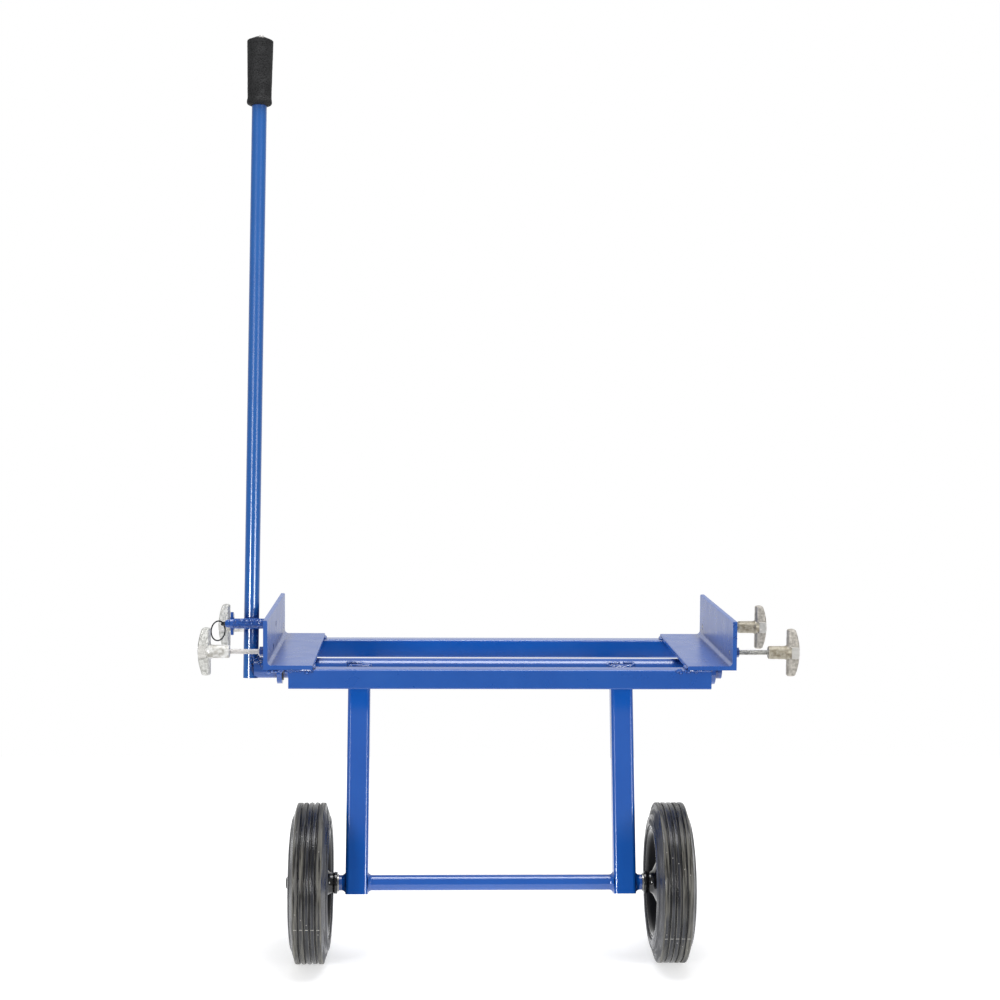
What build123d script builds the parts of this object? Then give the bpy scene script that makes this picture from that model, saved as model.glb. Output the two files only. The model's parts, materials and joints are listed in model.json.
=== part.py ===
from build123d import *
import os
from math import cos, radians, sin

# Ramp cart: a saddle of two steel angles that carries one end of a loading ramp,
# swinging on a shaft whose lever has a tall handle, two legs and two wheels.
# Millimetres. +X is right, +Y is away from the front, +Z is up and the floor is Z = 0.

# Saddle frame
bay_width = 702.0
angle_leg = 74.0
angle_wall = 6.35
angle_length = 350.0
angle_root_radius = 6.0
angle_toe_radius = 2.0
rail_size = 30.0
rail_wall = 2.5
rail_end_inset = 37.35
rail_setback = 3.0
rail_inner_corner = 1.0
lug_wall = 8.0
lug_inset = 8.0
lug_rim = 9.0
shaft_drop = 9.0

# Lever: shaft, legs and handle tube
leg_lean = 16.0
lever_swing = 45.0
lever_shift = -10.0
shaft_radius = 16.0
shaft_wall = 4.0
shaft_overhang = 3.0
shaft_clearance = 0.08
retaining_ring_wall = 1.5
retaining_ring_rise = 3.5
retaining_ring_groove = 0.9
retaining_ring_mouth = 9.0
retaining_ring_clearance = 0.3
leg_length = 336.0
leg_toe = 5.8
leg_size = 35.0
leg_wall = 3.0
leg_inner_corner = 3.0
leg_cope = 6.0
leg_inset = 132.35
handle_radius = 12.0
handle_wall = 2.0
handle_gap = 22.6
handle_lean = 7.0
handle_tilt = 0.3
handle_cope = 6.0

# Foam grip
grip_top = 1019.0
grip_length = 111.0
grip_wall_low = 7.15
grip_wall_high = 9.0
grip_lip_wall = 8.15
grip_lip_height = 5.0
grip_lip_slope = 4.0
grip_shoulder = 1.2
grip_dome = 5.0
grip_crown = 7.7
grip_cap = 9.0
grip_clearance = 0.1

# Axle and wheels
axle_rod_radius = 8.0
axle_rod_clearance = 0.1
axle_tube_wall = 3.9
axle_stub = 10.0
axle_weld_width = 5.0
axle_weld_height = 3.5
axle_weld_crown = 0.5
washer_rim = 5.5
washer_wall = 1.6
washer_clearance = 0.4
cap_wall = 1.2
cap_end_wall = 1.5
cap_straight = 2.0
cap_seat = 3.0
wheel_radius = 123.5
tyre_width = 62.0
tyre_depth = 35.5
tyre_shoulder = 9.5
tyre_bead_height = 5.0
tyre_bead_inset = 1.5
groove_count = 4
groove_width = 3.0
groove_depth = 3.0
rim_inset = 1.5
rim_lip = 8.0
rim_dish_edge = 5.0
rim_dish_slope = 9.0
rim_web = 10.0
hub_wall = 5.0
hub_end = 10.0
hub_cone = 10.0
hub_cone_rise = 16.0
hub_inner_reach = 41.1
hub_outer_reach = 32.0
bearing_wall = 3.95
bearing_length = 18.0
bearing_clearance = 0.05

# Latch on the handle
latch_height = 70.5
latch_wall = 3.12
latch_length = 65.5
latch_gap = 0.6
latch_stop_wall = 3.0
latch_chamfer = 0.8
latch_flange_rim = 10.1
latch_flange_wall = 4.5
pin_radius = 5.0
pin_clearance = 0.08
pin_tip_chamfer = 1.0
pin_tip_inset = 0.2
pin_travel = 4.5
pin_hole_clearance = 0.25
tail_wall = 1.5
tail_end_wall = 1.2
tab_wall = 1.8
knob_wall = 3.0
knob_tip_wall = 1.1
knob_overlap = 1.0
knob_straight = 2.5
knob_length = 8.5
knob_bulge = 0.5
knob_clearance = 0.2
knob_end_gap = 0.5
spring_length = 20.0
spring_clearance = 0.15
pull_ring_radius = 15.4
pull_ring_wire = 1.1
pull_ring_clearance = 0.9
pull_ring_gap = 1.4
pull_ring_tilt = 55.4
pull_ring_lean = 25.5
pull_ring_turn = 59.7

# Clamp screws
clamp_end = 32.0
clamp_height = 22.8
clamp_rod_radius = 4.0
clamp_rod_exposed = 45.0
clamp_rod_engage = 20.0
clamp_rod_chamfer = 0.8
clamp_fit = 0.05
clamp_hole_clearance = 0.3
clamp_hub_length = 29.0
clamp_hub_wall = 6.3
clamp_hub_fillet = 1.5
clamp_hub_bottom = 0.3
nut_rim = 2.5
nut_sides = 6
nut_turn = 30.0
nut_wall = 8.0
bar_length = 73.0
bar_end_width = 12.0
bar_bow = 7.0
bar_thickness = 15.0
bar_edge = 2.0
boss_length = 18.0
boss_width = 12.5
boss_inset = 1.0
boss_rise = 1.5

# Radii and widths of the pieces that sit round one another
lug_radius = shaft_radius + lug_rim
retaining_ring_seat = shaft_radius - retaining_ring_groove
retaining_ring_radius = shaft_radius + retaining_ring_rise
grip_bore = handle_radius + grip_clearance
grip_radius_low = grip_bore + grip_wall_low
grip_radius_high = grip_bore + grip_wall_high
grip_lip_radius = grip_bore + grip_lip_wall
axle_bore = axle_rod_radius + axle_rod_clearance
axle_tube_radius = axle_bore + axle_tube_wall
washer_radius = axle_rod_radius + washer_rim
cap_radius = axle_rod_radius + cap_wall
cap_height = cap_seat + cap_end_wall
bearing_bore = axle_rod_radius + bearing_clearance
bearing_radius = bearing_bore + bearing_wall
hub_radius = bearing_radius + hub_wall
rim_radius = wheel_radius - tyre_depth
rim_lip_radius = rim_radius - rim_lip
rim_edge_radius = rim_lip_radius - rim_dish_edge
rim_dish_radius = rim_edge_radius - rim_dish_slope
tyre_side_radius = rim_radius + tyre_bead_height
tread_width = tyre_width - 2 * tyre_shoulder
bead_width = tyre_width - 2 * tyre_bead_inset
rim_width = bead_width - 2 * rim_inset
ring_hole_radius = pull_ring_wire + pull_ring_clearance
tail_radius = ring_hole_radius + tail_wall
tail_bore = tail_radius + pin_clearance
latch_bore = pin_radius + pin_clearance
latch_radius = latch_bore + latch_wall
knob_radius = tail_radius + knob_wall
knob_tip_radius = tail_radius + knob_tip_wall
knob_bore = knob_radius + knob_clearance
latch_flange_radius = latch_radius + latch_flange_rim
clamp_bore = clamp_rod_radius + clamp_fit
clamp_hub_radius = clamp_rod_radius + clamp_hub_wall
nut_flat_radius = clamp_rod_radius + nut_rim
bar_middle_width = bar_end_width + bar_bow

# Heights, and the depth that centres the whole cart on Y = 0
leg_sin = sin(radians(leg_lean))
leg_cos = cos(radians(leg_lean))
handle_sin = sin(radians(handle_lean))
handle_cos = cos(radians(handle_lean))
axle_z = wheel_radius
pivot_z = axle_z + leg_length * leg_cos
pivot_drop = shaft_radius + shaft_drop
seat_z = pivot_z + pivot_drop
grip_shoulder_x = grip_radius_high - grip_shoulder
grip_shoulder_z = grip_top - grip_dome - grip_shoulder
front_reach = max(leg_length * leg_sin + wheel_radius, angle_length / 2)
grip_reach = grip_shoulder_x * handle_cos + grip_shoulder_z * handle_sin + grip_shoulder
back_reach = max(grip_reach, angle_length / 2)
pivot_y = (front_reach - back_reach) / 2
axle_y = pivot_y - leg_length * leg_sin
angle_front = pivot_y - angle_length / 2
angle_back = pivot_y + angle_length / 2
pivot = (pivot_y, pivot_z)
axle = (axle_y, axle_z)

# Widths
sides = {"left": -1, "right": 1}
angle_inner = bay_width / 2
angle_outer = angle_inner + angle_wall
lug_outer = angle_outer - lug_inset
lug_inner = lug_outer - lug_wall
handle_x = -(angle_outer + handle_gap + handle_radius)
shaft_left = handle_x + handle_cope
shaft_right = angle_outer + shaft_overhang
rail_length = 2 * (angle_outer - rail_end_inset)
washer_room = washer_wall + 2 * washer_clearance
leg_middle = lug_inner - leg_inset
axle_tube_end = leg_middle + leg_size / 2 + axle_stub
hub_inner = axle_tube_end + washer_room
wheel_middle = hub_inner + hub_inner_reach
hub_outer = wheel_middle + hub_outer_reach
cap_start = hub_outer + washer_room

# Planes on the shaft axis: the lever's has its Z up along the legs, the handle's up along the handle
lever = Plane(origin=(0, pivot_y, pivot_z), x_dir=(1, 0, 0), z_dir=(0, leg_sin, leg_cos))
upright = Plane(origin=(handle_x, pivot_y, pivot_z), x_dir=(1, 0, 0), z_dir=(0, handle_sin, handle_cos))
handle = upright * Rot(0, handle_tilt, 0)

# The latch lies across the front of the handle tube. Its two lock holes are on one circle.
latch_forward = handle_radius + latch_radius
latch_inner = -(angle_outer + latch_gap)
latch_outer = latch_inner - latch_length
latch_stop = latch_outer + knob_overlap + pin_travel + knob_end_gap
latch_depth = latch_height * handle_sin - latch_forward * handle_cos
latch_rise = latch_height * handle_cos + latch_forward * handle_sin


def lock_hole(turn):
    """Depth and height of the latch axis when the lever has turned by so many degrees."""
    turn_sin = sin(radians(turn))
    turn_cos = cos(radians(turn))
    depth = pivot_y + latch_depth * turn_cos - latch_rise * turn_sin
    return depth, pivot_z + latch_depth * turn_sin + latch_rise * turn_cos


latch = lock_hole(0)

# Places along the clamp screws, measured outwards from the angle's outer face
clamp_hub_start = nut_wall + clamp_rod_exposed
clamp_bar_start = clamp_hub_start + clamp_hub_length
clamp_z = seat_z + clamp_height
clamp_depths = {"front": angle_front + clamp_end, "rear": angle_back - clamp_end}
clamps = {
    f"{side_name}_{end_name}": (side, depth)
    for side_name, side in sides.items()
    for end_name, depth in clamp_depths.items()
}


def save(piece, name):
    """Label a finished piece and write it to its own file."""
    piece.part.label = name
    export_step(piece.part, f"parts/{name}.step")


def round_bar(centre, start, end, radius, mode=Mode.ADD):
    """Round bar along X at a depth and height, from one X to another."""
    with BuildSketch(Plane.YZ.offset(start)) as disc:
        with Locations(centre):
            Circle(radius)
    extrude(disc.sketch, amount=end - start, mode=mode)


def square_tube(size, wall, inner_corner):
    """Section of a square tube with rounded corners."""
    bore = size - 2 * wall
    RectangleRounded(size, size, inner_corner + wall)
    RectangleRounded(bore, bore, inner_corner, mode=Mode.SUBTRACT)


def outward(side, distance):
    """X at a distance outside the outer face of a side angle."""
    return side * (angle_outer + distance)


def upright_plane(x, centre, side=1):
    """Plane of X and Z through a depth and height, its local X outwards on the given side."""
    return Plane(origin=(x, centre[0], centre[1]), x_dir=(side, 0, 0), z_dir=(0, -side, 0))


def x_axis(centre):
    """Axis along X at a depth and height."""
    return Axis((0, centre[0], centre[1]), (1, 0, 0))


os.makedirs("parts", exist_ok=True)

# Side angles: the ramp rests on the flat legs and is clamped between the upright legs
for name, side in sides.items():
    with BuildPart() as angle:
        with BuildSketch(Plane.XZ.offset(-angle_front)):
            with BuildLine():
                Polyline(
                    (side * angle_outer, seat_z),
                    (side * (angle_outer - angle_leg), seat_z),
                    (side * (angle_outer - angle_leg), seat_z + angle_wall),
                    (side * angle_inner, seat_z + angle_wall),
                    (side * angle_inner, seat_z + angle_leg),
                    (side * angle_outer, seat_z + angle_leg),
                    close=True,
                )
            make_face()
        extrude(amount=-angle_length)
        long_edges = angle.edges().filter_by(Axis.Y)
        root_point = (side * angle_inner, pivot_y, seat_z + angle_wall)
        flat_toe = (side * (angle_outer - angle_leg), pivot_y, seat_z + angle_wall)
        upright_toe = (side * angle_inner, pivot_y, seat_z + angle_leg)
        root_edge = long_edges.sort_by_distance(root_point)[0]
        toe_edges = [long_edges.sort_by_distance(toe)[0] for toe in (flat_toe, upright_toe)]
        fillet(root_edge, radius=angle_root_radius)
        fillet(toe_edges, radius=angle_toe_radius)
        for depth in clamp_depths.values():
            hole_radius = clamp_rod_radius + clamp_hole_clearance
            round_bar((depth, clamp_z), side * angle_inner, outward(side, 0), hole_radius, Mode.SUBTRACT)
        if name == "left":
            for turn in (0, lever_swing):
                hole_radius = pin_radius + pin_hole_clearance
                round_bar(lock_hole(turn), -angle_inner, -angle_outer, hole_radius, Mode.SUBTRACT)
    save(angle, f"{name}_side_angle")

# Cross rails under both ends of the angles
rail_depths = {
    "front": angle_front + rail_setback + rail_size / 2,
    "rear": angle_back - rail_setback - rail_size / 2,
}
for name, depth in rail_depths.items():
    with BuildPart() as rail:
        with BuildSketch(Plane.YZ.offset(-rail_length / 2)):
            with Locations((depth, seat_z - rail_size / 2)):
                square_tube(rail_size, rail_wall, rail_inner_corner)
        extrude(amount=rail_length)
    save(rail, f"{name}_rail")

# Pivot lugs hang from the angles and carry the shaft
for name, side in sides.items():
    with BuildPart() as lug:
        with BuildSketch(Plane.YZ.offset(side * lug_inner)):
            with Locations(pivot):
                Circle(lug_radius)
                Rectangle(2 * lug_radius, pivot_drop, align=(Align.CENTER, Align.MIN))
            with Locations((pivot_y, seat_z)):
                lug_size = (2 * lug_radius, pivot_drop + lug_radius)
                Rectangle(*lug_size, align=(Align.CENTER, Align.MAX), mode=Mode.INTERSECT)
            with Locations(pivot):
                Circle(shaft_radius + shaft_clearance, mode=Mode.SUBTRACT)
        extrude(amount=side * lug_wall)
    save(lug, f"{name}_pivot_lug")

# Weld nuts outside the angles, one for each clamp screw
with BuildPart() as nuts:
    for side, depth in clamps.values():
        with BuildSketch(Plane.YZ.offset(outward(side, 0))):
            with Locations((depth, clamp_z)):
                RegularPolygon(nut_flat_radius, nut_sides, major_radius=False, rotation=nut_turn)
                Circle(clamp_bore, mode=Mode.SUBTRACT)
        extrude(amount=side * nut_wall)
save(nuts, "clamp_weld_nuts")

# Pivot shaft: a heavy tube, coped at its left end to the handle tube and grooved inside both lugs
retaining_ring_start = lug_inner - retaining_ring_clearance
with BuildPart() as shaft:
    round_bar(pivot, shaft_left, shaft_right, shaft_radius)
    round_bar(pivot, shaft_left, shaft_right, shaft_radius - shaft_wall, Mode.SUBTRACT)
    with BuildSketch(handle * Pos(0, 0, -shaft_radius)):
        Circle(handle_radius)
    extrude(amount=3 * shaft_radius, mode=Mode.SUBTRACT)
    for side in sides.values():
        with BuildSketch(Plane.YZ.offset(side * retaining_ring_start)):
            with Locations(pivot):
                Circle(shaft_radius + shaft_wall)
                Circle(retaining_ring_seat, mode=Mode.SUBTRACT)
        extrude(amount=-side * retaining_ring_wall, mode=Mode.SUBTRACT)
save(shaft, "pivot_shaft")

# Open retaining rings that keep the shaft between the lugs
with BuildPart() as rings:
    for side in sides.values():
        with BuildSketch(Plane.YZ.offset(side * retaining_ring_start)):
            with Locations(pivot):
                Circle(retaining_ring_radius)
                Circle(retaining_ring_seat, mode=Mode.SUBTRACT)
                mouth = (retaining_ring_mouth, 2 * retaining_ring_radius)
                Rectangle(*mouth, align=(Align.CENTER, Align.MIN), mode=Mode.SUBTRACT)
        extrude(amount=-side * retaining_ring_wall)
save(rings, "shaft_retaining_rings")

# Square legs, coped round the shaft at the top and pierced by the axle tube
for name, side in sides.items():
    leg_x = lever_shift + side * leg_middle
    with BuildPart() as leg:
        leg_foot = leg_length + axle_tube_radius + leg_toe
        with BuildSketch(lever * Pos(leg_x, 0, -leg_foot)):
            square_tube(leg_size, leg_wall, leg_inner_corner)
        extrude(amount=leg_foot - leg_cope)
        for centre, radius in ((pivot, shaft_radius), (axle, axle_tube_radius)):
            round_bar(centre, leg_x - leg_size, leg_x + leg_size, radius, Mode.SUBTRACT)
    save(leg, f"{name}_leg")

# Axle tube through both legs
with BuildPart() as axle_tube:
    round_bar(axle, lever_shift - axle_tube_end, lever_shift + axle_tube_end, axle_tube_radius)
    round_bar(axle, lever_shift - axle_tube_end, lever_shift + axle_tube_end, axle_bore, Mode.SUBTRACT)
save(axle_tube, "axle_tube")

# Fillet welds round the axle tube on both faces of each leg
with BuildPart() as axle_welds:
    for leg_side in sides.values():
        for face_side in sides.values():
            leg_face = lever_shift + leg_side * leg_middle + face_side * leg_size / 2
            with BuildSketch(upright_plane(leg_face, axle, face_side)):
                with BuildLine():
                    foot = (0, axle_tube_radius + axle_weld_height)
                    toe = (axle_weld_width, axle_tube_radius)
                    Polyline(toe, (0, axle_tube_radius), foot)
                    SagittaArc(foot, toe, -axle_weld_crown)
                make_face()
            revolve(axis=x_axis(axle))
save(axle_welds, "axle_welds")

# Axle rod, with washers against both ends of the hubs and push-on caps outside the wheels
rod_end = cap_start + cap_seat
with BuildPart() as axle_rod:
    round_bar(axle, lever_shift - rod_end, lever_shift + rod_end, axle_rod_radius)
save(axle_rod, "axle_rod")

with BuildPart() as washers:
    for side in sides.values():
        for start in (hub_inner - washer_clearance - washer_wall, hub_outer + washer_clearance):
            with BuildSketch(Plane.YZ.offset(lever_shift + side * start)):
                with Locations(axle):
                    Circle(washer_radius)
                    Circle(axle_bore, mode=Mode.SUBTRACT)
            extrude(amount=side * washer_wall)
save(washers, "axle_washers")

with BuildPart() as caps:
    for side in sides.values():
        with BuildSketch(Plane.YZ.offset(lever_shift + side * cap_start)):
            with Locations(axle):
                Circle(cap_radius)
        extrude(amount=side * cap_height)
    outer_faces = caps.faces().filter_by(Axis.X).group_by(Axis.X)
    outer_edges = [outer_faces[end][0].edges()[0] for end in (0, -1)]
    fillet(outer_edges, radius=cap_height - cap_straight)
    for side in sides.values():
        with BuildSketch(Plane.YZ.offset(lever_shift + side * cap_start)):
            with Locations(axle):
                Circle(axle_rod_radius)
        extrude(amount=side * cap_seat, mode=Mode.SUBTRACT)
save(caps, "axle_caps")

# Wheels: ribbed solid tyre, dished rim with its hub, and two bearing sleeves
for name, side in sides.items():
    wheel_x = lever_shift + side * wheel_middle
    wheel_plane = upright_plane(wheel_x, axle, side)

    with BuildPart() as tyre:
        groove_pitch = tread_width / (groove_count + 1)
        with BuildSketch(wheel_plane):
            with BuildLine():
                Polyline(
                    (-tread_width / 2, wheel_radius),
                    (tread_width / 2, wheel_radius),
                    (tyre_width / 2, tyre_side_radius),
                    (bead_width / 2, rim_radius),
                    (-bead_width / 2, rim_radius),
                    (-tyre_width / 2, tyre_side_radius),
                    close=True,
                )
            make_face()
            with Locations((0, wheel_radius)):
                with GridLocations(groove_pitch, 0, groove_count, 1):
                    Rectangle(groove_width, 2 * groove_depth, mode=Mode.SUBTRACT)
        revolve(axis=x_axis(axle))
    save(tyre, f"{name}_tyre")

    with BuildPart() as rim:
        with BuildSketch(wheel_plane):
            for direction, reach in ((1, hub_outer_reach), (-1, hub_inner_reach)):
                with BuildLine():
                    Polyline(
                        (0, bearing_radius),
                        (direction * reach, bearing_radius),
                        (direction * reach, hub_radius),
                        (direction * (reach - hub_end), hub_radius),
                        (direction * (reach - hub_end - hub_cone), hub_radius + hub_cone_rise),
                        (direction * rim_web / 2, hub_radius + hub_cone_rise),
                        (direction * rim_web / 2, rim_dish_radius),
                        (direction * (rim_width / 2 - rim_dish_edge), rim_edge_radius),
                        (direction * rim_width / 2, rim_lip_radius),
                        (direction * rim_width / 2, rim_radius),
                        (0, rim_radius),
                        close=True,
                    )
                make_face()
        revolve(axis=x_axis(axle))
    save(rim, f"{name}_rim")

    with BuildPart() as bearings:
        for direction, reach in ((1, hub_outer_reach), (-1, hub_inner_reach)):
            sleeve_end = wheel_x + side * direction * reach
            sleeve_start = sleeve_end - side * direction * bearing_length
            round_bar(axle, sleeve_start, sleeve_end, bearing_radius)
            round_bar(axle, sleeve_start, sleeve_end, bearing_bore, Mode.SUBTRACT)
    save(bearings, f"{name}_bearings")

# Handle tube, welded across the left end of the shaft
grip_bottom = grip_top - grip_length
handle_end = grip_top - grip_cap
with BuildPart() as handle_tube:
    with BuildSketch(handle * Pos(0, 0, -shaft_radius)):
        Circle(handle_radius)
        Circle(handle_radius - handle_wall, mode=Mode.SUBTRACT)
    extrude(amount=shaft_radius + handle_end)
save(handle_tube, "handle_tube")

# Foam grip: a flared lip at the bottom, and an end that slopes up to a small flat crown
with BuildPart() as grip:
    with BuildSketch(handle * Rot(90, 0, 0)):
        with BuildLine():
            shoulder_side = (grip_radius_high, grip_shoulder_z)
            shoulder_top = (grip_shoulder_x, grip_shoulder_z + grip_shoulder)
            Polyline(
                shoulder_top,
                (grip_crown, grip_top),
                (0, grip_top),
                (0, handle_end + grip_clearance),
                (grip_bore, handle_end + grip_clearance),
                (grip_bore, grip_bottom),
                (grip_lip_radius, grip_bottom),
                (grip_lip_radius, grip_bottom + grip_lip_height),
                (grip_radius_low, grip_bottom + grip_lip_height + grip_lip_slope),
                shoulder_side,
            )
            RadiusArc(shoulder_side, shoulder_top, -grip_shoulder)
        make_face()
    revolve(axis=Axis(handle.position, Plane(handle).z_dir))
save(grip, "handle_grip")

# Latch barrel, with a stop for the spring and a wider mouth for the knob
pin_end = latch_stop + latch_stop_wall
with BuildPart() as barrel:
    round_bar(latch, latch_outer, latch_inner, latch_radius)
    chamfer(barrel.faces().sort_by(Axis.X)[0].edges(), length=latch_chamfer)
    round_bar(latch, pin_end, latch_inner, latch_bore, Mode.SUBTRACT)
    round_bar(latch, latch_stop, pin_end, tail_bore, Mode.SUBTRACT)
    round_bar(latch, latch_outer, latch_stop, knob_bore, Mode.SUBTRACT)
save(barrel, "latch_barrel")

# Half-round flange behind the barrel
flange_start = latch_outer + latch_chamfer
with BuildPart() as flange:
    with BuildSketch(Plane.YZ.offset(flange_start)):
        with Locations(latch):
            Circle(latch_flange_radius)
            Circle(latch_radius, mode=Mode.SUBTRACT)
            front_half = (latch_flange_radius, 2 * latch_flange_radius)
            Rectangle(*front_half, align=(Align.MAX, Align.CENTER), mode=Mode.SUBTRACT)
    extrude(amount=latch_flange_wall)
save(flange, "latch_flange")

# Coil spring between the stop and the pin's shoulder, as the sleeve that it fills
pin_shoulder = pin_end + spring_length
with BuildPart() as spring:
    spring_end = pin_shoulder - spring_clearance
    round_bar(latch, pin_end, spring_end, latch_bore - spring_clearance)
    round_bar(latch, pin_end, spring_end, tail_radius + spring_clearance, Mode.SUBTRACT)
save(spring, "latch_spring")

# Lock pin, drawn back just clear of the saddle, with a hole for the ring in its flattened tail
knob_start = latch_outer + knob_overlap
knob_tip = knob_start - knob_length
ring_x = knob_tip - pull_ring_gap - ring_hole_radius
ring_point = Vector(ring_x, latch[0], latch[1])
tilt = radians(pull_ring_tilt)
lean = radians(pull_ring_lean)
swing_out = radians(pull_ring_turn)
rightwards = Vector(1, 0, 0)
hole_axis = Vector(0, cos(tilt), -sin(tilt))
ring_axis = hole_axis * cos(lean) + rightwards * sin(lean)
ring_level = hole_axis * sin(lean) - rightwards * cos(lean)
ring_down = Vector(0, -sin(tilt), -cos(tilt))
ring_out = ring_level * cos(swing_out) + ring_down * sin(swing_out)
with BuildPart() as pin:
    pin_tip = latch_inner - pin_tip_inset
    round_bar(latch, pin_shoulder, pin_tip, pin_radius)
    chamfer(pin.faces().sort_by(Axis.X)[-1].edges(), length=pin_tip_chamfer)
    round_bar(latch, ring_x - ring_hole_radius - tail_end_wall, pin_shoulder, tail_radius)
    with BuildSketch(Plane(origin=ring_point, x_dir=rightwards, z_dir=hole_axis)):
        Circle(ring_hole_radius)
    extrude(amount=2 * tail_radius, both=True, mode=Mode.SUBTRACT)
    for flat_way in (hole_axis, -hole_axis):
        flat_point = ring_point + flat_way * (tab_wall / 2)
        with BuildSketch(Plane(origin=flat_point, x_dir=rightwards, z_dir=flat_way)):
            Rectangle(2 * (ring_hole_radius + tail_end_wall), 2 * tail_radius)
        extrude(amount=tail_radius, mode=Mode.SUBTRACT)
save(pin, "lock_pin")

# Tapered knob pressed onto the pin's tail, which slips into the barrel's mouth as the pin goes home
with BuildPart() as knob:
    with BuildSketch(upright_plane(0, latch)):
        with BuildLine():
            taper_start = (knob_start - knob_straight, knob_radius)
            taper_end = (knob_tip, knob_tip_radius)
            taper_middle = (
                (taper_start[0] + taper_end[0]) / 2 - knob_bulge,
                (taper_start[1] + taper_end[1]) / 2 + knob_bulge,
            )
            ThreePointArc(taper_start, taper_middle, taper_end)
            Polyline(
                taper_end,
                (knob_tip, tail_radius),
                (knob_start, tail_radius),
                (knob_start, knob_radius),
                taper_start,
            )
        make_face()
    revolve(axis=x_axis(latch))
save(knob, "latch_knob")

# Pull ring through the pin's tail
ring_centre = ring_point + ring_out * pull_ring_radius
with BuildPart(Plane(origin=ring_centre, x_dir=ring_out, z_dir=ring_axis.cross(ring_out))) as pull_ring:
    Torus(pull_ring_radius, pull_ring_wire)
save(pull_ring, "pull_ring")

# Clamp screws: a threaded rod through each weld nut and a cast T-handle on its outer end
for name, (side, depth) in clamps.items():
    clamp = (depth, clamp_z)
    rod_tip = side * angle_inner
    rod_end_x = outward(side, clamp_hub_start + clamp_rod_engage)

    with BuildPart() as rod:
        round_bar(clamp, rod_tip, rod_end_x, clamp_rod_radius)
        chamfer(rod.faces().filter_by(Axis.X).edges(), length=clamp_rod_chamfer)
    save(rod, f"{name}_clamp_rod")

    with BuildPart() as tee:
        hub_end = outward(side, clamp_bar_start + bar_end_width / 2)
        round_bar(clamp, outward(side, clamp_hub_start), hub_end, clamp_hub_radius)
        hub_rim = tee.faces().filter_by(Axis.X).sort_by(Axis.X)[0 if side > 0 else -1]
        fillet(hub_rim.edges(), radius=clamp_hub_fillet)
        bar_plane = upright_plane(outward(side, clamp_bar_start), clamp, side)
        with BuildSketch(bar_plane):
            with BuildLine():
                low_corner = (bar_end_width, -bar_length / 2)
                high_corner = (bar_end_width, bar_length / 2)
                Polyline(high_corner, (0, bar_length / 2), (0, -bar_length / 2), low_corner)
                ThreePointArc(low_corner, (bar_middle_width, 0), high_corner)
            make_face()
        extrude(amount=bar_thickness / 2, both=True)
        bar_ends = tee.faces().filter_by(Axis.Z)
        fillet(bar_ends.edges(), radius=bar_edge)
        with BuildSketch(bar_plane):
            with Locations((bar_middle_width - boss_inset - boss_width / 2, 0)):
                Rectangle(boss_width, boss_length)
        extrude(amount=bar_thickness / 2 + boss_rise, both=True)
        hole_end = outward(side, clamp_hub_start + clamp_rod_engage + clamp_hub_bottom)
        round_bar(clamp, outward(side, clamp_hub_start), hole_end, clamp_bore, Mode.SUBTRACT)
    save(tee, f"{name}_clamp_handle")
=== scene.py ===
import json
import random
from math import cos, pi, radians, sin, sqrt, tau

import bmesh
import bpy
from mathutils import Matrix, Vector, noise


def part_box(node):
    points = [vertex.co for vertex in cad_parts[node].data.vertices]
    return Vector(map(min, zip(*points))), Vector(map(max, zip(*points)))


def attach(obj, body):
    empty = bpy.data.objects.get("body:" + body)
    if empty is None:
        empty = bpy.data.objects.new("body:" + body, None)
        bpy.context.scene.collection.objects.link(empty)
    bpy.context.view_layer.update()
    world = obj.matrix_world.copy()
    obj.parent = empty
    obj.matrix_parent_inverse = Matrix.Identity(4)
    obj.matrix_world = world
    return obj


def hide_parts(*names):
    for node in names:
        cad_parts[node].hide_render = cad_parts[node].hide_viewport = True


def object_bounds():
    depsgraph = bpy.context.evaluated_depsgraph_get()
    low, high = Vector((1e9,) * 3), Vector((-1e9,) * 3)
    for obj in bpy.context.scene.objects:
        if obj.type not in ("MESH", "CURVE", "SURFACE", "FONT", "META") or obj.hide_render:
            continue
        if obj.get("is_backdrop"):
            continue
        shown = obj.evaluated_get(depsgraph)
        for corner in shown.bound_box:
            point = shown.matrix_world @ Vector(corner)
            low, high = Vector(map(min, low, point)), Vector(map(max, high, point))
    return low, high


# Ramp cart: painted steel saddle and lever, foam grip, ribbed tyres and cast T-handles.
# Metres. +X is right, +Y is away from the front, +Z is up and the floor is Z = 0.
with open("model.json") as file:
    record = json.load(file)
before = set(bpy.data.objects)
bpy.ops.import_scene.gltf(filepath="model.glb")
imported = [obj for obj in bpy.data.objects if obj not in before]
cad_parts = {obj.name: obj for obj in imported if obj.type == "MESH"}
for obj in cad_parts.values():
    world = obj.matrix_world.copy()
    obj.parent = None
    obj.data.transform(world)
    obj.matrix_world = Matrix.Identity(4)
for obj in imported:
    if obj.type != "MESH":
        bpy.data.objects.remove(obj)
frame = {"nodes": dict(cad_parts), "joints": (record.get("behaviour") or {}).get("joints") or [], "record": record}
cad_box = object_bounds()
scene = bpy.context.scene

# Sides, directions and the joints' places
sides = {"left": -1, "right": 1}
ends = ("front", "rear")
joints = {joint["name"]: Vector(joint["pos_m"]) for joint in frame["joints"] if "pos_m" in joint}
pivot = joints["lever_swing"]
wheel_centres = {name: joints[f"{name}_wheel_spin"] for name in sides}
axle = wheel_centres["left"]
right_way = Vector((1, 0, 0))
back_way = Vector((0, 1, 0))
up_way = Vector((0, 0, 1))
lever_up = Vector((0, pivot.y - axle.y, pivot.z - axle.z)).normalized()
lever_back = lever_up.cross(right_way)

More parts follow.
